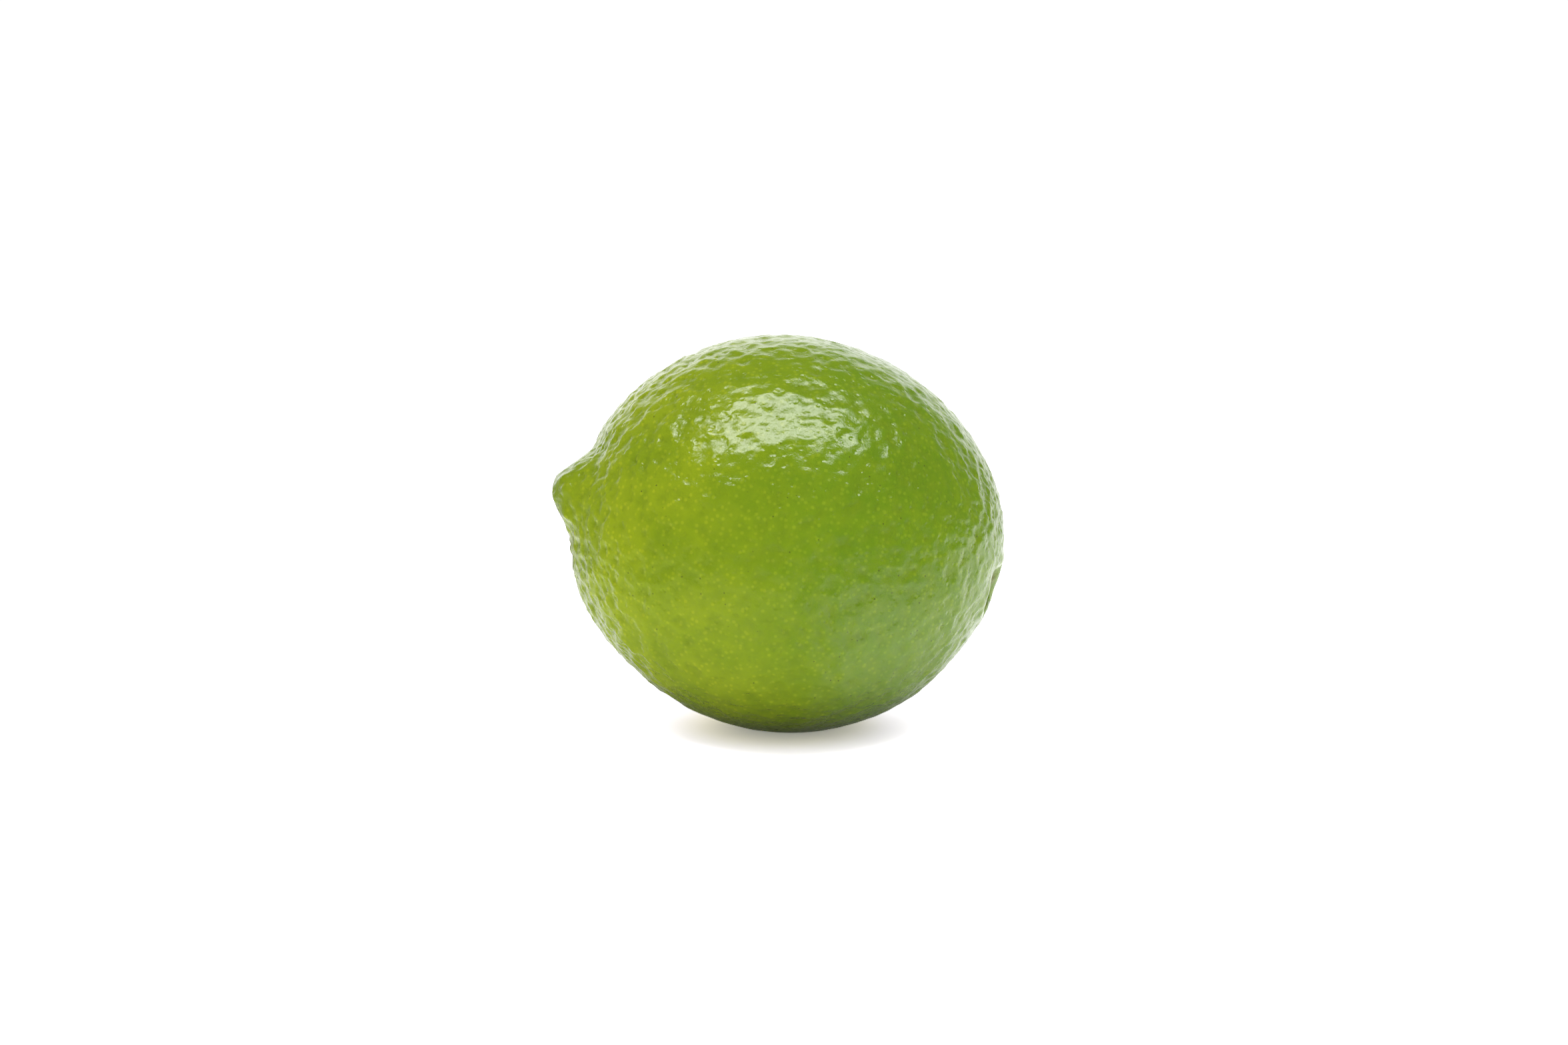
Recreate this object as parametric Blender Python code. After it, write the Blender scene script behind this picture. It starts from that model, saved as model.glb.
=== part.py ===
"""A fresh Persian lime, whole, lying on its side on a small flat spot.

The fruit grew as one piece, so it is one closed solid: the body, the nipple at its
blossom end and the dimple that the stem left at its other end. It is shaped in its own
frame first, with its long axis on Z, the stem end up and the nipple down. It is then
laid down with the stem end towards +X, cut level where it rests, and placed with the
origin under the middle of its box. Units are metres, and +Z is up.
"""

import math

import bmesh
import bpy
from mathutils import Matrix, Vector

MM = 0.001

# The body: two half ellipsoids of one girth.
BODY_RADIUS = 26.85 * MM
STEM_HALF_LENGTH = 29.45 * MM
NIPPLE_HALF_LENGTH = 29.58 * MM

# Halfway to each end the body is a little slimmer than an ellipsoid, most of all below.
SLIMMING = 0.0104
SLIMMING_BELOW = 0.0020

# The nipple: a blunt bump a little above the middle and to the front, with a hollow neck
# over it. Its front side runs out more gently into the body.
NIPPLE_HEIGHT = 3.09 * MM
NIPPLE_RADIUS = 4.07 * MM
NIPPLE_STEEPNESS = 2.5
NIPPLE_RISE = 0.69 * MM
NIPPLE_ASIDE = -3.0 * MM
NIPPLE_FRONT_REACH = 0.35
NIPPLE_FRONT_SOFTNESS = 0.5
NECK_DEPTH = 0.6 * MM
NECK_RADIUS = 7.0 * MM
NECK_WIDTH = 2.2 * MM

# The stem end leans up, and its lower cheek is flatter.
STEM_LEAN = 1.26 * MM
STEM_LEAN_SHARPNESS = 6
CHEEK_DEPTH = 0.9 * MM
CHEEK_DROP = 12.6 * MM
CHEEK_WIDTH = 6.4 * MM

# The shoulder round the nipple stands out below and falls away above.
SHOULDER_SWELL = 0.57 * MM
SHOULDER_ANGLE = math.radians(150.0)
SHOULDER_WIDTH = math.radians(16.0)

# The dimple at the stem end, a little below the middle and to the front, with the scar
# disc on its floor and a low lip round it.
DIMPLE_DROP = 1.2 * MM
DIMPLE_ASIDE = -4.2 * MM
DIMPLE_RADIUS = 3.4 * MM
DIMPLE_DEPTH = 1.5 * MM
DIMPLE_STEEPNESS = 6
DIMPLE_LOBES = 5
DIMPLE_LOBE_SIZE = 0.10
SCAR_RADIUS = 1.9 * MM
SCAR_HEIGHT = 0.35 * MM
LIP_RADIUS = 4.6 * MM
LIP_WIDTH = 1.0 * MM
LIP_HEIGHT = 0.18 * MM

# The girth isn't quite round: (waves round the fruit, size, turn) for each swell.
GIRTH_WAVES = (
    (2, 0.0050, 0.6),
    (3, 0.0040, 2.1),
    (9, 0.0016, 0.3),
)

# How it lies: the nipple end a little up, on a small flat spot.
TILT = math.radians(11.6)
FLAT_DEPTH = 0.42 * MM

# The mesh: an icosphere with its points drawn in towards both ends.
SUBDIVISIONS = 5
END_GATHER = 0.20
SMALLEST_EDGE = 0.12 * MM

SKIN_COLOUR = (0.262, 0.387, 0.019, 1.0)
SKIN_ROUGHNESS = 0.36


def bell(distance, width):
    """1 at no distance, falling smoothly to 0 a few widths away."""
    return math.exp(-(distance / width) ** 2)


def girth(polar, turn):
    """How far the body stands from its axis, with its slow swells."""
    swell = sum(size * math.cos(waves * turn + phase) for waves, size, phase in GIRTH_WAVES)
    slimming = (SLIMMING + SLIMMING_BELOW * math.cos(turn)) * math.sin(2.0 * polar) ** 2
    shoulder = SHOULDER_SWELL * math.cos(turn) * bell(polar - SHOULDER_ANGLE, SHOULDER_WIDTH)
    return BODY_RADIUS * math.sin(polar) * (1.0 + swell * math.sin(polar) - slimming) + shoulder


def nipple(below, aside):
    """How far the nipple stands out at this place beside the axis."""
    radius = math.hypot(below + NIPPLE_RISE, aside - NIPPLE_ASIDE)
    turn = math.atan2(aside - NIPPLE_ASIDE, below + NIPPLE_RISE)
    front = max(0.0, -math.sin(turn)) ** 2
    reach = NIPPLE_RADIUS * (1.0 + NIPPLE_FRONT_REACH * front)
    steepness = NIPPLE_STEEPNESS - NIPPLE_FRONT_SOFTNESS * front
    above = 0.5 - 0.5 * math.cos(turn)
    neck = NECK_DEPTH * above * bell(radius - NECK_RADIUS, NECK_WIDTH)
    return NIPPLE_HEIGHT * math.exp(-(radius / reach) ** steepness) - neck


def cheek(below, aside):
    """How much the stem half is shortened at this place beside the axis."""
    return CHEEK_DEPTH * bell(math.hypot(below - CHEEK_DROP, aside), CHEEK_WIDTH)


def dimple(below, aside):
    """How deep the stem end is sunk at this place beside its axis."""
    radius = math.hypot(below - DIMPLE_DROP, aside - DIMPLE_ASIDE)
    turn = math.atan2(aside - DIMPLE_ASIDE, below - DIMPLE_DROP)
    rim = DIMPLE_RADIUS * (1.0 + DIMPLE_LOBE_SIZE * math.cos(DIMPLE_LOBES * turn))
    hollow = DIMPLE_DEPTH * math.exp(-(radius / rim) ** DIMPLE_STEEPNESS)
    scar = SCAR_HEIGHT * math.exp(-(radius / SCAR_RADIUS) ** DIMPLE_STEEPNESS)
    return hollow - scar - LIP_HEIGHT * bell(radius - LIP_RADIUS, LIP_WIDTH)


def lime_point(polar, turn):
    """The skin at an angle from the stem end, and at a turn round the axis from below."""
    radius = girth(polar, turn)
    below = radius * math.cos(turn)
    aside = radius * math.sin(turn)
    if polar < 0.5 * math.pi:
        below -= STEM_LEAN * math.cos(polar) ** STEM_LEAN_SHARPNESS
        half_length = STEM_HALF_LENGTH - cheek(below, aside)
        along = half_length * math.cos(polar) - dimple(below, aside)
    else:
        along = NIPPLE_HALF_LENGTH * math.cos(polar) - nipple(below, aside)
    return Vector((below, aside, along))


def shape_skin(bm):
    """Moves each point of a unit icosphere out to the lime's skin."""
    bmesh.ops.create_icosphere(bm, subdivisions=SUBDIVISIONS, radius=1.0)
    for vert in bm.verts:
        polar = math.acos(max(-1.0, min(1.0, vert.co.z)))
        polar -= END_GATHER * math.sin(2.0 * polar)
        vert.co = lime_point(polar, math.atan2(vert.co.y, vert.co.x))


def lay_down(bm):
    """Turns the stem end from +Z to +X, and on down by the tilt."""
    bm.transform(Matrix.Rotation(0.5 * math.pi + TILT, 4, "Y"))


def cut_resting_spot(bm):
    """Cuts the lowest part off level and closes the cut with one flat face."""
    floor = min(vert.co.z for vert in bm.verts) + FLAT_DEPTH
    bmesh.ops.translate(bm, verts=bm.verts, vec=(0.0, 0.0, -floor))
    bmesh.ops.bisect_plane(
        bm,
        geom=bm.verts[:] + bm.edges[:] + bm.faces[:],
        plane_co=(0.0, 0.0, 0.0),
        plane_no=(0.0, 0.0, 1.0),
        clear_inner=True,
    )
    bmesh.ops.dissolve_degenerate(bm, dist=SMALLEST_EDGE, edges=bm.edges[:])
    rim = [edge for edge in bm.edges if edge.is_boundary]
    for edge in rim:
        for vert in edge.verts:
            vert.co.z = 0.0
    bmesh.ops.contextual_create(bm, geom=rim)


def centre_over_origin(bm):
    """Puts the middle of the box over the origin."""
    for axis in (0, 1):
        spread = [vert.co[axis] for vert in bm.verts]
        shift = Vector()
        shift[axis] = -0.5 * (min(spread) + max(spread))
        bmesh.ops.translate(bm, verts=bm.verts, vec=shift)


def skin_material():
    """Waxy green peel."""
    material = bpy.data.materials.new("lime_skin")
    material.use_nodes = True
    shader = material.node_tree.nodes["Principled BSDF"]
    shader.inputs["Base Color"].default_value = SKIN_COLOUR
    shader.inputs["Roughness"].default_value = SKIN_ROUGHNESS
    shader.inputs["Metallic"].default_value = 0.0
    material.diffuse_color = SKIN_COLOUR
    return material


def build_lime():
    """The whole fruit, as one object."""
    bm = bmesh.new()
    shape_skin(bm)
    lay_down(bm)
    cut_resting_spot(bm)
    centre_over_origin(bm)
    bmesh.ops.triangulate(bm, faces=[face for face in bm.faces if len(face.verts) == 4])
    bmesh.ops.recalc_face_normals(bm, faces=bm.faces[:])
    mesh = bpy.data.meshes.new("lime")
    bm.to_mesh(mesh)
    bm.free()
    mesh.shade_smooth()
    mesh.set_sharp_from_angle(angle=math.radians(40.0))
    mesh.materials.append(skin_material())
    lime = bpy.data.objects.new("lime", mesh)
    bpy.context.scene.collection.objects.link(lime)


for leftover in list(bpy.data.objects):
    bpy.data.objects.remove(leftover, do_unlink=True)
build_lime()
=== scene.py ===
"""The looks of a whole fresh lime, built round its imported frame.

The CAD node is one plain solid. Here it is replaced by a fine skin of the same shape,
with the leathery relief, pits, wrinkles, nipple and stem scar of real peel, and by a
procedural peel material. Lengths in the shape functions are in millimetres, in the
fruit's own frame: its axis on Z, the stem end up, and turns measured from below.
"""

import math

import bpy
import numpy as np
from mathutils import Matrix, Vector
from mathutils.kdtree import KDTree


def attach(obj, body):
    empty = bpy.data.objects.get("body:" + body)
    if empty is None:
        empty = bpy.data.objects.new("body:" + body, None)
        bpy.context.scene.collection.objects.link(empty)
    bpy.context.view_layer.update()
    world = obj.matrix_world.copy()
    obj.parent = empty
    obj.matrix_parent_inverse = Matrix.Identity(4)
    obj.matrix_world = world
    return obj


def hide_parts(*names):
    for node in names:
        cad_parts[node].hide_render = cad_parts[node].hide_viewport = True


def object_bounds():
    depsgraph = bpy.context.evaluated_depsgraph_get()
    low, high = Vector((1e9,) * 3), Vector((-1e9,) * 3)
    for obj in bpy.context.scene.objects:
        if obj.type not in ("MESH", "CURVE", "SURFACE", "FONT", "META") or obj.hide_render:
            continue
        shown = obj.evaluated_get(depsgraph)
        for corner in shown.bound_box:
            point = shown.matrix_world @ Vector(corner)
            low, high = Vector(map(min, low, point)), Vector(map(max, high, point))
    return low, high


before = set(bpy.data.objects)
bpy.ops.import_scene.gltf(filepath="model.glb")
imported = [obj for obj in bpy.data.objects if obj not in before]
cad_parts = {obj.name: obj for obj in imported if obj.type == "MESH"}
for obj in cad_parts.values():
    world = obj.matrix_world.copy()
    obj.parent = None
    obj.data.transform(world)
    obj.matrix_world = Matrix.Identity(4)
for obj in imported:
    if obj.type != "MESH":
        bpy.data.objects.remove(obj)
CAD_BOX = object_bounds()

METRE = 1000.0  # millimetres

# The shape that the CAD solid has, in millimetres.
BODY_RADIUS = 26.85
STEM_HALF_LENGTH = 29.45
NIPPLE_HALF_LENGTH = 29.58
SLIMMING = 0.0104
SLIMMING_BELOW = 0.0020
NIPPLE_HEIGHT = 3.09
NIPPLE_RADIUS = 4.07
NIPPLE_STEEPNESS = 2.5
NIPPLE_RISE = 0.69
NIPPLE_ASIDE = -3.0
NIPPLE_FRONT_REACH = 0.35
NIPPLE_FRONT_SOFTNESS = 0.5
NECK_DEPTH = 0.6
NECK_RADIUS = 7.0
NECK_WIDTH = 2.2
STEM_LEAN = 1.26
STEM_LEAN_SHARPNESS = 6
CHEEK_DEPTH = 0.9
CHEEK_DROP = 12.6
CHEEK_WIDTH = 6.4
SHOULDER_SWELL = 0.57
SHOULDER_ANGLE = math.radians(150.0)
SHOULDER_WIDTH = math.radians(16.0)
DIMPLE_DROP = 1.2
DIMPLE_ASIDE = -4.2
DIMPLE_RADIUS = 3.4
DIMPLE_DEPTH = 1.5
DIMPLE_STEEPNESS = 6
DIMPLE_LOBES = 5
DIMPLE_LOBE_SIZE = 0.10
SCAR_RADIUS = 1.9
SCAR_HEIGHT = 0.35
LIP_RADIUS = 4.6
LIP_WIDTH = 1.0
LIP_HEIGHT = 0.18
GIRTH_WAVES = (
    (2, 0.0050, 0.6),
    (3, 0.0040, 2.1),
    (9, 0.0016, 0.3),
)
TILT = math.radians(11.6)
FLAT_DEPTH = 0.42

# The skin's mesh: an octahedron folded flat, so one square map covers the whole fruit.
MAP_NAME = "OFBake"
MAP_CELLS = 157
MAP_INSET = 0.002
MAP_TURN = math.radians(45.0)
END_GATHER = 0.10


# ---------------------------------------------------------------- noise

def unit_vectors(count, seed):
    """Random directions, the same each run."""
    vectors = np.random.default_rng(seed).normal(size=(count, 3))
    return vectors / np.linalg.norm(vectors, axis=1, keepdims=True)


NOISE_TABLE = 256
LAYER_SHIFT = 17.3  # keeps the layers of one noise from lining up


class Noise:
    """Smooth 3-D gradient noise, about -0.7 to 0.7, one lump per unit."""

    def __init__(self, seed):
        self.order = np.random.default_rng(seed).permutation(NOISE_TABLE)
        self.slopes = unit_vectors(NOISE_TABLE, seed + 1)

    def corner(self, cell):
        """The slope that belongs to a corner of the grid."""
        code = np.zeros(len(cell), int)
        for axis in range(3):
            code = self.order[(code + cell[:, axis]) % NOISE_TABLE]
        return self.slopes[code]

    def __call__(self, points):
        cell = np.floor(points).astype(int)
        inside = points - cell
        smooth = inside ** 3 * (inside * (inside * 6.0 - 15.0) + 10.0)
        total = np.zeros(len(points))
        for corner in np.ndindex(2, 2, 2):
            step = np.array(corner)
            weight = np.prod(np.where(step == 1, smooth, 1.0 - smooth), axis=1)
            total += weight * np.sum(self.corner(cell + step) * (inside - step), axis=1)
        return total


def layered(noise, points, size, layers):
    """Noise with lumps of this size, with finer layers of half the size and height."""
    total = np.zeros(len(points))
    for layer in range(layers):
        total += 0.5 ** layer * noise(points * 2.0 ** layer / size + LAYER_SHIFT * layer)
    return total


def bell(distance, width):
    """1 at no distance, falling smoothly to 0 a few widths away."""
    return np.exp(-(distance / width) ** 2)


def ease(value, low, high):
    """0 below low, 1 above high, smooth between."""
    share = np.clip((value - low) / (high - low), 0.0, 1.0)
    return share * share * (3.0 - 2.0 * share)


# ---------------------------------------------------------------- shape

def girth(polar, turn):
    """How far the body stands from its axis, with its slow swells."""
    swell = sum(size * np.cos(waves * turn + phase) for waves, size, phase in GIRTH_WAVES)
    slimming = (SLIMMING + SLIMMING_BELOW * np.cos(turn)) * np.sin(2.0 * polar) ** 2
    shoulder = SHOULDER_SWELL * np.cos(turn) * bell(polar - SHOULDER_ANGLE, SHOULDER_WIDTH)
    return BODY_RADIUS * np.sin(polar) * (1.0 + swell * np.sin(polar) - slimming) + shoulder


def nipple(below, aside):
    """How far the nipple stands out at this place beside the axis."""
    radius = np.hypot(below + NIPPLE_RISE, aside - NIPPLE_ASIDE)
    turn = np.arctan2(aside - NIPPLE_ASIDE, below + NIPPLE_RISE)
    front = np.maximum(0.0, -np.sin(turn)) ** 2
    reach = NIPPLE_RADIUS * (1.0 + NIPPLE_FRONT_REACH * front)
    steepness = NIPPLE_STEEPNESS - NIPPLE_FRONT_SOFTNESS * front
    above = 0.5 - 0.5 * np.cos(turn)
    neck = NECK_DEPTH * above * bell(radius - NECK_RADIUS, NECK_WIDTH)
    return NIPPLE_HEIGHT * np.exp(-(radius / reach) ** steepness) - neck


def cheek(below, aside):
    """How much the stem half is shortened at this place beside the axis."""
    return CHEEK_DEPTH * bell(np.hypot(below - CHEEK_DROP, aside), CHEEK_WIDTH)


def dimple(below, aside):
    """How deep the stem end is sunk at this place beside its axis."""
    radius = np.hypot(below - DIMPLE_DROP, aside - DIMPLE_ASIDE)
    turn = np.arctan2(aside - DIMPLE_ASIDE, below - DIMPLE_DROP)
    rim = DIMPLE_RADIUS * (1.0 + DIMPLE_LOBE_SIZE * np.cos(DIMPLE_LOBES * turn))
    hollow = DIMPLE_DEPTH * np.exp(-(radius / rim) ** DIMPLE_STEEPNESS)
    scar = SCAR_HEIGHT * np.exp(-(radius / SCAR_RADIUS) ** DIMPLE_STEEPNESS)
    return hollow - scar - LIP_HEIGHT * bell(radius - LIP_RADIUS, LIP_WIDTH)


def body_points(polar, turn):
    """The bare shape of the fruit, without its skin's relief."""
    radius = girth(polar, turn)
    below = radius * np.cos(turn)
    aside = radius * np.sin(turn)
    along = np.cos(polar)
    leaning = below - STEM_LEAN * np.maximum(along, 0.0) ** STEM_LEAN_SHARPNESS
    stem = (STEM_HALF_LENGTH - cheek(leaning, aside)) * along - dimple(leaning, aside)
    blossom = NIPPLE_HALF_LENGTH * along - nipple(below, aside)
    return np.stack([leaning, aside, np.where(along > 0.0, stem, blossom)], axis=1)


def lying():
    """The turn from the fruit's own frame to how it lies."""
    return np.array(Matrix.Rotation(0.5 * math.pi + TILT, 3, "Y"))


# ---------------------------------------------------------------- mesh

def folded_grid():
    """Corner numbers of the square map's grid, with its folded edges joined."""
    last = 2 * MAP_CELLS
    across, up = np.meshgrid(np.arange(last + 1), np.arange(last + 1), indexing="ij")
    at_side = (across == 0) | (across == last)
    up_joined = np.where(at_side, np.minimum(up, last - up), up)
    at_end = (up_joined == 0) | (up_joined == last)
    across_joined = np.where(at_end, np.minimum(across, last - across), across)
    code = across_joined * (last + 1) + up_joined
    kept, number = np.unique(code, return_inverse=True)
    number = number.reshape(code.shape)
    return kept // (last + 1), kept % (last + 1), number


def map_directions(across, up):
    """Equal-area directions for places on the square map, +Z at its middle."""
    u = across / MAP_CELLS - 1.0
    v = up / MAP_CELLS - 1.0
    above = 1.0 - (np.abs(u) + np.abs(v))
    radius = 1.0 - np.abs(above)
    safe = np.maximum(radius, 1e-12)
    angle = 0.25 * math.pi * ((np.abs(v) - np.abs(u)) / safe + 1.0)
    flat = radius * np.sqrt(2.0 - radius ** 2)
    x = flat * np.copysign(np.cos(angle), u)
    y = flat * np.copysign(np.sin(angle), v)
    z = np.copysign(1.0 - radius ** 2, above)
    return np.stack([x, y, z], axis=1) @ np.array(Matrix.Rotation(MAP_TURN, 3, "Z")).T


def grid_triangles(number):
    """Two triangles a cell, cut along the map's folds, and their places on the map."""
    cells = 2 * MAP_CELLS
    i, j = np.meshgrid(np.arange(cells), np.arange(cells), indexing="ij")
    i, j = i.ravel(), j.ravel()
    same_sign = (i < MAP_CELLS) == (j < MAP_CELLS)
    low, right = (i, j), (i + 1, j)
    high, left = (i + 1, j + 1), (i, j + 1)
    rising = [(low, right, high), (low, high, left)]
    falling = [(low, right, left), (right, high, left)]
    triangles, places = [], []
    for pair, chosen in ((falling, same_sign), (rising, ~same_sign)):
        for corners in pair:
            triangles.append(np.stack([number[a[chosen], b[chosen]] for a, b in corners], axis=1))
            places.append(np.stack([np.stack([a[chosen], b[chosen]], 1) for a, b in corners], 1))
    return np.concatenate(triangles), np.concatenate(places) / cells


def vertex_normals(points, triangles):
    """Normals averaged over the faces round each point."""
    a, b, c = (points[triangles[:, k]] for k in range(3))
    faces = np.cross(b - a, c - a)
    normals = np.zeros_like(points)
    for k in range(3):
        np.add.at(normals, triangles[:, k], faces)
    return normals / np.linalg.norm(normals, axis=1, keepdims=True)


# ---------------------------------------------------------------- relief

# Slow swells, lumps and grain: the size of one and its height.
SWELL_SIZE = 9.0
SWELL_HEIGHT = 0.20
LUMP_SIZE = 2.0
LUMP_HEIGHT = 0.165
GRAIN_SIZE = 0.95
GRAIN_HEIGHT = 0.12
NOISE_SEEDS = (31, 11, 23, 47, 59)

# The net of low ridges, and the wide hollows between them.
NET_SPACING = 2.3
NET_JITTER = 0.34
NET_DEPTH = (0.05, 0.17)
NET_NEAR = 3
NET_SHARPNESS = 5.0
NET_REACH = 1.6
NET_SEEDS = (7, 9)

# Small round pits.
PIT_SPACING = 1.35
PIT_JITTER = 0.3
PIT_RADIUS = (0.21, 0.38)
PIT_DEPTH = (0.03, 0.15)
PIT_REACH = 2.2
PIT_SEEDS = (3, 5)

# Wrinkles round the nipple and folds round the stem dimple.
STREAK_COUNT = 3.8
STREAK_LENGTH = 7.0
STREAK_HEIGHT = 0.12
STREAK_REACH = 12.0
STREAK_WIDTH = 7.0
FOLD_COUNT = 2.2
FOLD_HEIGHT = 0.12
FOLD_WIDTH = 2.0

# The relief is stronger towards the nipple, and weaker on it and round the dimple.
STRENGTH = 0.80
BLOSSOM_STRENGTH = 0.35
BLOSSOM_RANGE = (5.0, 24.0)
NIPPLE_SMOOTHING = 0.5
NIPPLE_SMOOTH_RADIUS = 4.5
RIM_SMOOTHING = 0.8
RIM_SMOOTH_RADIUS = 5.0

# Single features: raised spots, the worn side of the dimple's rim, the style's ring.
WART_PLACES = ((-1.5, -6.6), (2.1, -6.9), (-2.6, -5.4))
WART_RADIUS = 0.80
WART_HEIGHT = 0.42
NOTCH_BELOW = -1.0
NOTCH_ASIDE = -7.2
NOTCH_DEPTH = 0.5
NOTCH_RADIUS = 1.9
STYLE_RING_RADIUS = 1.9
STYLE_RING_WIDTH = 0.38
STYLE_RING_HEIGHT = 0.04
STYLE_HOLLOW_RADIUS = 1.3
STYLE_HOLLOW_DEPTH = 0.05

# Near the table the relief is this share of itself, and whole this far above it.
FOOT_RELIEF = 0.2
FOOT_FADE = 7.0

SKIN_AREA = 9000.0  # square millimetres, roughly


def even_directions(spacing, jitter, seed):
    """Directions about this far apart over the fruit, each knocked a little out of place."""
    count = int(SKIN_AREA / spacing ** 2)
    index = np.arange(count) + 0.5
    height = 1.0 - 2.0 * index / count
    around = math.pi * (1.0 + 5.0 ** 0.5) * index
    flat = np.sqrt(1.0 - height ** 2)
    spread = np.stack([flat * np.cos(around), flat * np.sin(around), height], axis=1)
    gap = math.sqrt(4.0 * math.pi / count)
    spread += np.random.default_rng(seed).normal(scale=jitter * gap, size=spread.shape)
    return spread / np.linalg.norm(spread, axis=1, keepdims=True)


def tree_of(points):
    """A search tree that finds the points near a place."""
    tree = KDTree(len(points))
    for number, point in enumerate(points):
        tree.insert(point, number)
    tree.balance()
    return tree


def chosen_points(points, directions, wanted):
    """The numbers of the skin's points that lie nearest to the wanted directions."""
    finder = tree_of(directions)
    return [finder.find(direction)[1] for direction in wanted]


def pits(points, directions):
    """Small round hollows in the skin."""
    tree = tree_of(points)
    wanted = even_directions(PIT_SPACING, PIT_JITTER, PIT_SEEDS[0])
    centres = chosen_points(points, directions, wanted)
    rng = np.random.default_rng(PIT_SEEDS[1])
    sizes = rng.uniform(*PIT_RADIUS, len(centres))
    depths = rng.uniform(*PIT_DEPTH, len(centres))
    relief = np.zeros(len(points))
    for centre, size, depth in zip(centres, sizes, depths):
        for _, number, distance in tree.find_range(points[centre], PIT_REACH * size):
            relief[number] -= depth * math.exp(-(distance / size) ** 2)
    return relief


def net(points, directions):
    """Wide shallow hollows side by side, with a net of low ridges left between them."""
    wanted = even_directions(NET_SPACING, NET_JITTER, NET_SEEDS[0])
    centres = chosen_points(points, directions, wanted)
    depths = np.random.default_rng(NET_SEEDS[1]).uniform(*NET_DEPTH, len(centres))
    tree = tree_of(points[centres])
    half = 0.5 * NET_SPACING
    relief = np.empty(len(points))
    for number, point in enumerate(points):
        near = tree.find_n(point, NET_NEAR)
        weights = [math.exp(-NET_SHARPNESS * (gap / half) ** 2) for _, _, gap in near]
        depth = sum(w * depths[k] for w, (_, k, _) in zip(weights, near)) / sum(weights)
        away = -math.log(sum(weights)) / NET_SHARPNESS
        relief[number] = depth * (min(away, NET_REACH) - 1.0)
    return relief


def skin_relief(points, turn, directions):
    """Height of the skin's relief over the bare shape."""
    swell, lumps, grain, streaks, folds = (Noise(seed) for seed in NOISE_SEEDS)
    along = points[:, 2]
    radius = np.hypot(points[:, 0], points[:, 1])
    blossom = ease(-along, *BLOSSOM_RANGE)
    from_tip = np.hypot(points[:, 0] + NIPPLE_RISE, points[:, 1] - NIPPLE_ASIDE)
    from_stem = np.hypot(points[:, 0] - DIMPLE_DROP, points[:, 1] - DIMPLE_ASIDE)
    on_nipple = bell(from_tip, NIPPLE_SMOOTH_RADIUS) * (along < 0.0)
    at_stem = bell(from_stem, RIM_SMOOTH_RADIUS) * (along > 0.0)
    strength = STRENGTH + BLOSSOM_STRENGTH * blossom
    strength = strength * (1.0 - NIPPLE_SMOOTHING * on_nipple) * (1.0 - RIM_SMOOTHING * at_stem)
    height = SWELL_HEIGHT * layered(swell, points, SWELL_SIZE, 2)
    height += LUMP_HEIGHT * strength * layered(lumps, points, LUMP_SIZE, 2)
    height += GRAIN_HEIGHT * strength * grain(points / GRAIN_SIZE)
    height += strength * (net(points, directions) + pits(points, directions))
    # Wrinkles that run out from the nipple over the shoulder.
    round_axis = np.stack([np.cos(turn), np.sin(turn)], axis=1)
    where = np.column_stack([STREAK_COUNT * round_axis, along / STREAK_LENGTH])
    beside = bell(radius - STREAK_REACH, STREAK_WIDTH) * (along < 0.0)
    height -= STREAK_HEIGHT * beside * np.abs(layered(streaks, where, 1.0, 2))
    # Short folds that run into the stem dimple.
    where = np.column_stack([FOLD_COUNT * round_axis, along / STREAK_LENGTH])
    rim = bell(from_stem - LIP_RADIUS, FOLD_WIDTH) * (along > 0.0)
    height += FOLD_HEIGHT * rim * folds(where)
    # One side of the dimple's rim is worn down where the stem broke away.
    notch = bell(np.hypot(points[:, 0] - NOTCH_BELOW, points[:, 1] - NOTCH_ASIDE), NOTCH_RADIUS)
    return height - NOTCH_DEPTH * notch * (along > 0.0)


def warts(points):
    """Small raised spots on the nipple's side."""
    height = np.zeros(len(points))
    for below, aside in WART_PLACES:
        gap = np.hypot(points[:, 0] - below, points[:, 1] - aside)
        height += WART_HEIGHT * bell(gap, WART_RADIUS)
    return height * (points[:, 2] < 0.0)


def style_scar(points):
    """The low ring round the nipple's tip, where the flower's style fell off."""
    radius = np.hypot(points[:, 0] + NIPPLE_RISE, points[:, 1] - NIPPLE_ASIDE)
    ring = STYLE_RING_HEIGHT * bell(radius - STYLE_RING_RADIUS, STYLE_RING_WIDTH)
    hollow = STYLE_HOLLOW_DEPTH * bell(radius, STYLE_HOLLOW_RADIUS)
    return (ring - hollow) * (points[:, 2] < 0.0)


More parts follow.
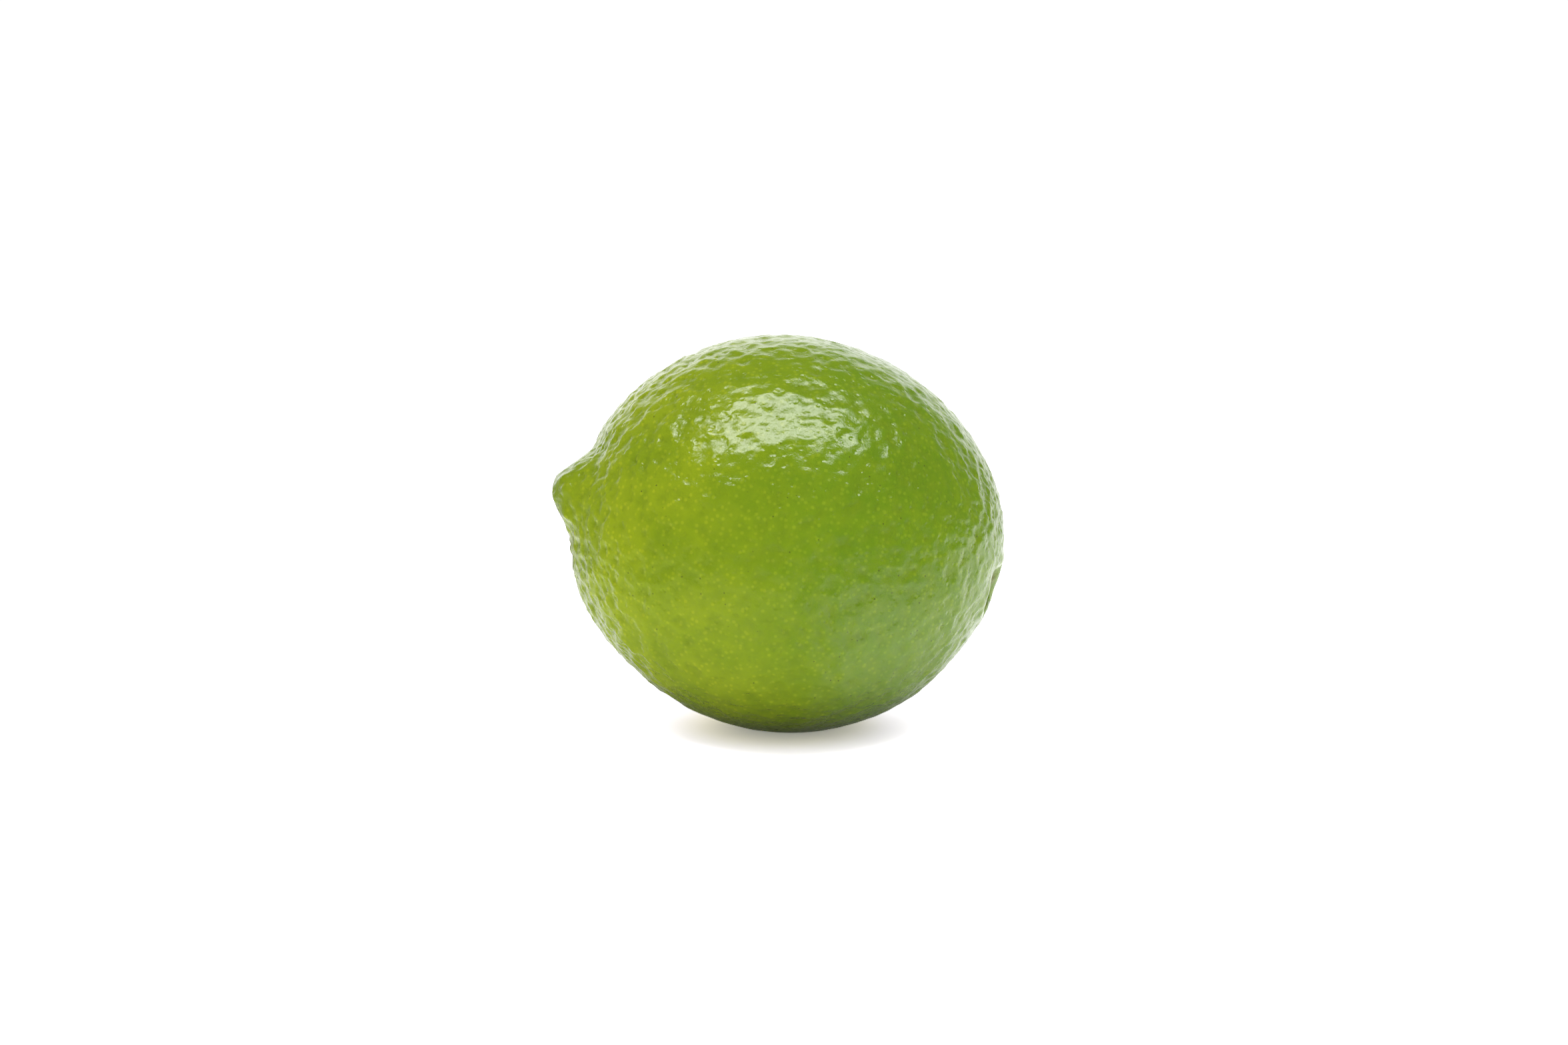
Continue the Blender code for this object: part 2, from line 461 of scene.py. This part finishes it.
def build_skin():
    """The fruit's fine skin, one closed mesh, laid down where the CAD solid lies."""
    across, up, number = folded_grid()
    directions = map_directions(across, up)
    own = directions @ lying()
    polar = np.arccos(np.clip(own[:, 2], -1.0, 1.0))
    polar = polar - END_GATHER * np.sin(2.0 * polar)
    turn = np.arctan2(own[:, 1], own[:, 0])
    bare = body_points(polar, turn)
    triangles, places = grid_triangles(number)
    normals = vertex_normals(bare, triangles)
    laid_bare = bare @ lying().T
    off_table = laid_bare[:, 2] - laid_bare[:, 2].min()
    relief = skin_relief(bare, turn, own) + style_scar(bare) + warts(bare)
    relief *= FOOT_RELIEF + (1.0 - FOOT_RELIEF) * ease(off_table, 0.0, FOOT_FADE)
    skin = bare + normals * relief[:, None]

    laid = skin @ lying().T
    low, high = CAD_BOX
    shift = np.array([
        0.5 * (low[0] + high[0]) * METRE - 0.5 * (laid_bare[:, 0].min() + laid_bare[:, 0].max()),
        0.5 * (low[1] + high[1]) * METRE - 0.5 * (laid_bare[:, 1].min() + laid_bare[:, 1].max()),
        low[2] * METRE - laid_bare[:, 2].min() - FLAT_DEPTH,
    ])
    laid = laid + shift
    laid[:, 2] = np.maximum(laid[:, 2], low[2] * METRE)

    mesh = bpy.data.meshes.new("lime_skin")
    mesh.from_pydata((laid / METRE).tolist(), [], triangles.tolist())
    mesh.update()
    uv = mesh.uv_layers.new(name=MAP_NAME)
    inset = MAP_INSET + (1.0 - 2.0 * MAP_INSET) * places.reshape(-1, 2)
    uv.data.foreach_set("uv", inset.astype(np.float32).ravel())
    own_place = mesh.attributes.new("own_place", "FLOAT_VECTOR", "POINT")
    own_place.data.foreach_set("vector", bare.astype(np.float32).ravel())
    height = mesh.attributes.new("relief", "FLOAT", "POINT")
    height.data.foreach_set("value", relief.astype(np.float32))
    mesh.shade_smooth()
    skin_object = bpy.data.objects.new("lime_skin", mesh)
    bpy.context.scene.collection.objects.link(skin_object)
    return skin_object


# ---------------------------------------------------------------- material

class Nodes:
    """Short forms for making and joining shader nodes."""

    def __init__(self, tree):
        self.tree = tree

    def add(self, kind, **settings):
        """A new node of this kind."""
        node = self.tree.nodes.new(kind)
        for name, value in settings.items():
            setattr(node, name, value)
        return node

    def link(self, output, socket):
        """Joins an output to a socket."""
        self.tree.links.new(output, socket)

    def set(self, socket, value):
        """Joins an output to a socket, or sets it to a number or colour."""
        if isinstance(value, bpy.types.NodeSocket):
            self.link(value, socket)
        else:
            socket.default_value = value

    def math(self, operation, a, b=0.0, c=0.0):
        """One sum on up to three numbers."""
        node = self.add("ShaderNodeMath", operation=operation)
        for socket, value in zip(node.inputs, (a, b, c)):
            self.set(socket, value)
        return node.outputs[0]

    def ramp(self, value, low, high, bottom=0.0, top=1.0):
        """value from low to high becomes bottom to top, smoothly."""
        node = self.add("ShaderNodeMapRange", interpolation_type="SMOOTHSTEP")
        for name, number in (("Value", value), ("From Min", low), ("From Max", high),
                             ("To Min", bottom), ("To Max", top)):
            self.set(node.inputs[name], number)
        return node.outputs["Result"]

    def blend(self, share, first, second, mode="MIX"):
        """The first colour, going to the second as share goes from 0 to 1."""
        node = self.add("ShaderNodeMix", data_type="RGBA", blend_type=mode)
        for socket, value in ((0, share), (6, first), (7, second)):
            self.set(node.inputs[socket], value)
        return node.outputs[2]

    def grey(self, value):
        """A number as a colour."""
        node = self.add("ShaderNodeCombineColor")
        for socket in node.inputs:
            self.set(socket, value)
        return node.outputs[0]

    def noise(self, where, scale, detail, roughness):
        """Smooth noise, 0 to 1, about scale lumps a millimetre."""
        node = self.add("ShaderNodeTexNoise")
        self.set(node.inputs["Vector"], where)
        self.set(node.inputs["Scale"], scale)
        self.set(node.inputs["Detail"], detail)
        self.set(node.inputs["Roughness"], roughness)
        return node.outputs["Fac"]

    def cells(self, where, scale, randomness):
        """How far each place is from the nearest of many scattered points."""
        node = self.add("ShaderNodeTexVoronoi", feature="F1")
        self.set(node.inputs["Vector"], where)
        self.set(node.inputs["Scale"], scale)
        self.set(node.inputs["Randomness"], randomness)
        return node.outputs["Distance"]


WHITE = (1.0, 1.0, 1.0, 1.0)
GREEN = (0.079, 0.141, 0.004, 1.0)
DEEP_GREEN = (0.063, 0.118, 0.003, 1.0)
YELLOW_GREEN = (0.145, 0.191, 0.005, 1.0)
GLAND_TINT = (1.30, 1.19, 1.5, 1.0)
# A darker green: painted shade in the skin's hollows, and the colour of the darker tip.
SHADE_AND_TIP_GREEN = (0.082, 0.126, 0.004, 1.0)
SCAR = (0.090, 0.085, 0.012, 1.0)
SPECK = (0.035, 0.038, 0.006, 1.0)

# Noise is given as scale, detail and roughness, and cells as scale and randomness. A
# range or an edge runs from where a change starts to where it is complete, in the units
# of what it reads, and a share is how much of it is mixed in.
RIPENESS_RANGE = (-23.0, 9.0)
YELLOWER_BELOW = 0.7
PATCH_NOISE = (0.10, 3.0, 0.55)
PATCH_RANGE = (0.40, 0.66)
PATCH_SHARE = 0.4
MOTTLE_NOISE = (0.55, 4.0, 0.6)
MOTTLE_RANGE = (0.35, 0.70)
MOTTLE_SHARE = 0.25
GLAND_CELLS = (1.15, 0.85)
GLAND_EDGE = (0.16, 0.38)
SPECK_CELLS = (0.55, 1.0)
SPECK_EDGE = (0.04, 0.08)
SPECK_SHARE = 0.8
# Painted shade in the hollows: how deep in the relief the darkening starts and is complete, and
# its share.
PAINTED_SHADE_RANGE = (-0.20, 0.0)
PAINTED_SHADE_SHARE = 0.34
TIP_EDGE = (2.0, 9.0)
TIP_SHARE = 0.55
SCAR_EDGE = (2.6, 3.7)
SCAR_SHARE = 0.8

# Gloss, which falls off towards the stem, and the finest relief, in metres.
PEEL_IOR = 1.45
DULLING_RANGE = (-12.0, 24.0)
ROUGHNESS = (0.11, 0.20)
GLOSS_NOISE = (0.8, 3.0, 0.6)
GLOSS_RANGE = (0.3, 0.7)
GLOSS_CHANGE = (-0.03, 0.03)
PORE_CELLS = (0.85, 1.0)
PORE_EDGE = (0.05, 0.34)
FINE_NOISE = (3.2, 3.0, 0.65)
FINE_SHARE = 0.85
FINE_HEIGHT = 0.00005


def near_point(n, place, centre, low, high):
    """1 within low of a point in the fruit's frame, 0 beyond high."""
    gap = n.add("ShaderNodeVectorMath", operation="DISTANCE")
    n.link(place, gap.inputs[0])
    gap.inputs[1].default_value = centre
    return n.ramp(gap.outputs["Value"], low, high, 1.0, 0.0)


def peel_material():
    """Waxy green peel with oil glands, mottling, a yellower nipple end and an olive scar."""
    material = bpy.data.materials.new("peel")
    material.use_nodes = True
    tree = material.node_tree
    n = Nodes(tree)
    shader = tree.nodes["Principled BSDF"]
    place = n.add("ShaderNodeAttribute", attribute_name="own_place").outputs["Vector"]
    relief = n.add("ShaderNodeAttribute", attribute_name="relief").outputs["Fac"]
    split = n.add("ShaderNodeSeparateXYZ")
    n.link(place, split.inputs[0])
    along = split.outputs["Z"]

    # Broad areas, yellower underneath and deeper green towards the stem, and mottling.
    underneath = n.math("MAXIMUM", split.outputs["X"], 0.0)
    ripeness = n.math("MULTIPLY_ADD", underneath, -YELLOWER_BELOW, along)
    colour = n.blend(n.ramp(ripeness, *RIPENESS_RANGE), YELLOW_GREEN, GREEN)
    patches = n.ramp(n.noise(place, *PATCH_NOISE), *PATCH_RANGE)
    colour = n.blend(n.math("MULTIPLY", patches, PATCH_SHARE), colour, DEEP_GREEN)
    mottle = n.ramp(n.noise(place, *MOTTLE_NOISE), *MOTTLE_RANGE)
    colour = n.blend(n.math("MULTIPLY", mottle, MOTTLE_SHARE), colour, YELLOW_GREEN)

    # Oil glands, paler than the skin round them, and a few dark specks.
    gland = n.ramp(n.cells(place, *GLAND_CELLS), *GLAND_EDGE, 1.0, 0.0)
    colour = n.blend(gland, colour, GLAND_TINT, "MULTIPLY")
    speck = n.ramp(n.cells(place, *SPECK_CELLS), *SPECK_EDGE, SPECK_SHARE, 0.0)
    colour = n.blend(speck, colour, SPECK)

    # Painted shade in the skin's hollows, a darker tip, and the scar on the dimple's floor.
    hollow = n.ramp(relief, *PAINTED_SHADE_RANGE, 1.0, 0.0)
    colour = n.blend(n.math("MULTIPLY", hollow, PAINTED_SHADE_SHARE), colour, SHADE_AND_TIP_GREEN)
    tip_centre = (0.0, NIPPLE_ASIDE, -NIPPLE_HALF_LENGTH - NIPPLE_HEIGHT)
    tip = near_point(n, place, tip_centre, *TIP_EDGE)
    colour = n.blend(n.math("MULTIPLY", tip, TIP_SHARE), colour, SHADE_AND_TIP_GREEN)
    scar_centre = (DIMPLE_DROP, DIMPLE_ASIDE, STEM_HALF_LENGTH - DIMPLE_DEPTH)
    scar = near_point(n, place, scar_centre, *SCAR_EDGE)
    colour = n.blend(n.math("MULTIPLY", scar, SCAR_SHARE), colour, SCAR)
    n.link(colour, shader.inputs["Base Color"])

    # Waxy, and duller towards the stem.
    shader.inputs["IOR"].default_value = PEEL_IOR
    dull = n.ramp(along, *DULLING_RANGE, *ROUGHNESS)
    uneven = n.ramp(n.noise(place, *GLOSS_NOISE), *GLOSS_RANGE, *GLOSS_CHANGE)
    n.link(n.math("ADD", dull, uneven), shader.inputs["Roughness"])

    # The finest relief: small pores, and a grain finer than the mesh can hold.
    pore = n.ramp(n.cells(place, *PORE_CELLS), *PORE_EDGE, 0.0, 1.0)
    fine = n.noise(place, *FINE_NOISE)
    bump = n.add("ShaderNodeBump")
    bump.inputs["Strength"].default_value = 1.0
    bump.inputs["Distance"].default_value = FINE_HEIGHT
    n.link(n.math("MULTIPLY_ADD", fine, FINE_SHARE, pore), bump.inputs["Height"])
    n.link(bump.outputs["Normal"], shader.inputs["Normal"])
    return material


# ---------------------------------------------------------------- studio

CAMERA_AZIMUTH = 0.0
CAMERA_ELEVATION = math.radians(11.0)
CAMERA_DISTANCE = 0.592
CAMERA_LENS = 100.0
SENSOR_WIDTH = 36.0
CAMERA_ASIDE = 0.00075
CAMERA_RAISE = 0.00135


def standing(azimuth, elevation):
    """The direction from the object to something at this azimuth and elevation."""
    return Vector((
        math.sin(azimuth) * math.cos(elevation),
        -math.cos(azimuth) * math.cos(elevation),
        math.sin(elevation),
    ))


def aim(ob, place, target):
    """Puts a camera or a lamp at place, looking at target."""
    ob.location = place
    ob.rotation_euler = (Vector(target) - Vector(place)).to_track_quat("-Z", "Y").to_euler()
    bpy.context.scene.collection.objects.link(ob)


def add_camera():
    """A long lens, square on to the fruit's side and a little above it."""
    data = bpy.data.cameras.new("camera")
    data.lens = CAMERA_LENS
    data.sensor_width = SENSOR_WIDTH
    camera = bpy.data.objects.new("camera", data)
    low, high = CAD_BOX
    target = Vector((CAMERA_ASIDE, 0.0, 0.5 * (low[2] + high[2]) + CAMERA_RAISE))
    aim(camera, target + CAMERA_DISTANCE * standing(CAMERA_AZIMUTH, CAMERA_ELEVATION), target)
    bpy.context.scene.camera = camera


LAMP_DISTANCE = 0.9
LAMP_ELEVATION = math.radians(78.0)
# The width and depth of each lamp, in metres, and its radiance.
SOFTBOX = (1.1, 0.34, 11.5)
FILL = (1.8, 1.4, 0.15)


def add_lamp(name, width, depth, radiance):
    """A lamp overhead, a little towards the camera: its name, size and brightness vary."""
    data = bpy.data.lights.new(name, "AREA")
    data.shape = "RECTANGLE"
    data.size = width
    data.size_y = depth
    data.energy = radiance * math.pi * width * depth
    lamp = bpy.data.objects.new(name, data)
    target = Vector((0.0, 0.0, 0.5 * (CAD_BOX[0][2] + CAD_BOX[1][2])))
    aim(lamp, target + LAMP_DISTANCE * standing(CAMERA_AZIMUTH, LAMP_ELEVATION), target)
    return lamp


# The pale wall behind the fruit. Its sides are given by the cosine of the angle from
# straight back, and its top by the height of a direction of length 1.
WALL_SIDES = (0.58, 0.95)
WALL_TOP = (0.45, 0.75)
WALL_STRENGTH = 1.60
ROOM_STRENGTH = 0.12
# More light for matt surfaces only, and the white that the camera sees.
AMBIENT = 0.53
SEEN_STRENGTH = 1.05


def add_world():
    """Pale behind the fruit and dim elsewhere, with more light on matt surfaces.

    The camera sees it white.
    """
    world = bpy.data.worlds.new("studio")
    world.use_nodes = True
    tree = world.node_tree
    n = Nodes(tree)
    tree.nodes.clear()
    direction = n.add("ShaderNodeTexCoord").outputs["Generated"]
    away = n.add("ShaderNodeVectorMath", operation="DOT_PRODUCT")
    n.link(direction, away.inputs[0])
    away.inputs[1].default_value = -standing(CAMERA_AZIMUTH, 0.0)
    split = n.add("ShaderNodeSeparateXYZ")
    n.link(direction, split.inputs[0])
    behind = n.ramp(away.outputs["Value"], *WALL_SIDES)
    low_down = n.ramp(split.outputs["Z"], *WALL_TOP, 1.0, 0.0)
    wall = n.math("MULTIPLY", behind, low_down)
    strength = n.math("MULTIPLY_ADD", wall, WALL_STRENGTH, ROOM_STRENGTH)
    rays = n.add("ShaderNodeLightPath").outputs
    strength = n.math("MULTIPLY_ADD", rays["Is Diffuse Ray"], AMBIENT, strength)
    lit = n.add("ShaderNodeBackground")
    n.link(strength, lit.inputs["Strength"])
    lit.inputs["Color"].default_value = WHITE
    seen = n.add("ShaderNodeBackground")
    seen.inputs["Color"].default_value = WHITE
    seen.inputs["Strength"].default_value = SEEN_STRENGTH
    mix = n.add("ShaderNodeMixShader")
    n.link(rays["Is Camera Ray"], mix.inputs["Fac"])
    n.link(lit.outputs[0], mix.inputs[1])
    n.link(seen.outputs[0], mix.inputs[2])
    n.link(mix.outputs[0], n.add("ShaderNodeOutputWorld").inputs["Surface"])
    bpy.context.scene.world = world


# The floor. Distances are from under the fruit, in metres. Facing is the cosine of the
# angle from the direction that runs forward and to the left.
FLOOR_RADIUS = 0.45
FLOOR_CORNERS = 96
FLOOR_GAP = 0.00004
FLOOR_ALBEDO = 0.74
FORWARD_LEFT = (-0.62, -0.78, 0.0)

# What the camera sees: warmer close to the fruit, and even white far from it.
SEEN_NEAR = (2.65, 2.35, 2.0, 1.0)
SEEN_FAR = (2.5, 2.3, 2.7, 1.0)
SEEN_CHANGE = (0.008, 0.016)
SEEN_LIFT = 0.10
WHITE_FROM = (0.10, 0.30)

# What the peel mirrors: dim green in front, brighter behind, and dimmer further away.
MIRRORED_FRONT = (0.42, 0.48, 0.14, 1.0)
FRONT_FACING = (0.22, 0.72)
REAR_FACING = (-0.75, -0.25)
REAR_BRIGHTNESS = 1.35
MIRRORED_CHANGE = (0.05, 0.16)
MIRRORED_FAR = 0.20

# What lights matt surfaces from below: little close to the fruit, and more further away.
BOUNCE_CHANGE = (0.010, 0.055)
BOUNCE_NEAR = 0.4
BOUNCE_FAR = 2.20

# Its own glow, for all rays but mirrored ones, and for those.
GLOW = 0.12
MIRRORED_GLOW = 0.055


def add_floor():
    """A plain white table top, which fades to even white away from the fruit.

    An overexposed white ground can't be one plain surface: what the camera sees, what
    the peel mirrors and what lights the peel from below each have a brightness here.
    """
    bpy.ops.mesh.primitive_circle_add(
        vertices=FLOOR_CORNERS,
        radius=FLOOR_RADIUS,
        fill_type="NGON",
        location=(0.0, 0.0, -FLOOR_GAP),
    )
    floor = bpy.context.object
    floor.name = "floor"
    material = bpy.data.materials.new("table")
    material.use_nodes = True
    tree = material.node_tree
    n = Nodes(tree)
    shader = tree.nodes["Principled BSDF"]
    where = n.add("ShaderNodeTexCoord").outputs["Object"]
    length = n.add("ShaderNodeVectorMath", operation="LENGTH")
    n.link(where, length.inputs[0])
    distance = length.outputs["Value"]
    forward = n.add("ShaderNodeVectorMath", operation="DOT_PRODUCT")
    n.link(where, forward.inputs[0])
    forward.inputs[1].default_value = FORWARD_LEFT
    facing = n.math("DIVIDE", forward.outputs["Value"], distance)
    front = n.ramp(facing, *FRONT_FACING)
    rear = n.ramp(facing, *REAR_FACING, REAR_BRIGHTNESS, 0.0)

    rays = n.add("ShaderNodeLightPath").outputs
    white = (FLOOR_ALBEDO, FLOOR_ALBEDO, FLOOR_ALBEDO, 1.0)
    mirrored = n.blend(front, white, MIRRORED_FRONT)
    brightness = n.ramp(distance, *MIRRORED_CHANGE, 1.0, MIRRORED_FAR)
    brightness = n.math("MAXIMUM", brightness, rear)
    mirrored = n.blend(1.0, mirrored, n.grey(brightness), "MULTIPLY")
    bounce = n.ramp(distance, *BOUNCE_CHANGE, BOUNCE_NEAR, BOUNCE_FAR)
    bounce = n.blend(1.0, white, n.grey(bounce), "MULTIPLY")
    seen = n.blend(n.ramp(distance, *SEEN_CHANGE), SEEN_NEAR, SEEN_FAR)
    colour = n.blend(rays["Is Diffuse Ray"], mirrored, bounce)
    colour = n.blend(rays["Is Camera Ray"], colour, seen)
    n.link(colour, shader.inputs["Base Color"])
    shader.inputs["Roughness"].default_value = 1.0
    shader.inputs["Specular IOR Level"].default_value = 0.0

    seen_glow = n.ramp(distance, *WHITE_FROM, SEEN_LIFT, 1.0)
    glow = n.math("MULTIPLY_ADD", rays["Is Glossy Ray"], MIRRORED_GLOW - GLOW, GLOW)
    glow = n.math("MULTIPLY_ADD", seen_glow, rays["Is Camera Ray"], glow)
    n.link(glow, shader.inputs["Emission Strength"])
    shader.inputs["Emission Color"].default_value = WHITE
    floor.data.materials.append(material)
    return floor


# ---------------------------------------------------------------- scene

skin = build_skin()
skin.data.materials.append(peel_material())
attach(skin, "root")
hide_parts("lime")

add_camera()
add_lamp("softbox", *SOFTBOX)
fill = add_lamp("fill", *FILL)
fill.visible_glossy = False
add_world()
add_floor()
bpy.context.scene.view_settings.view_transform = "Standard"
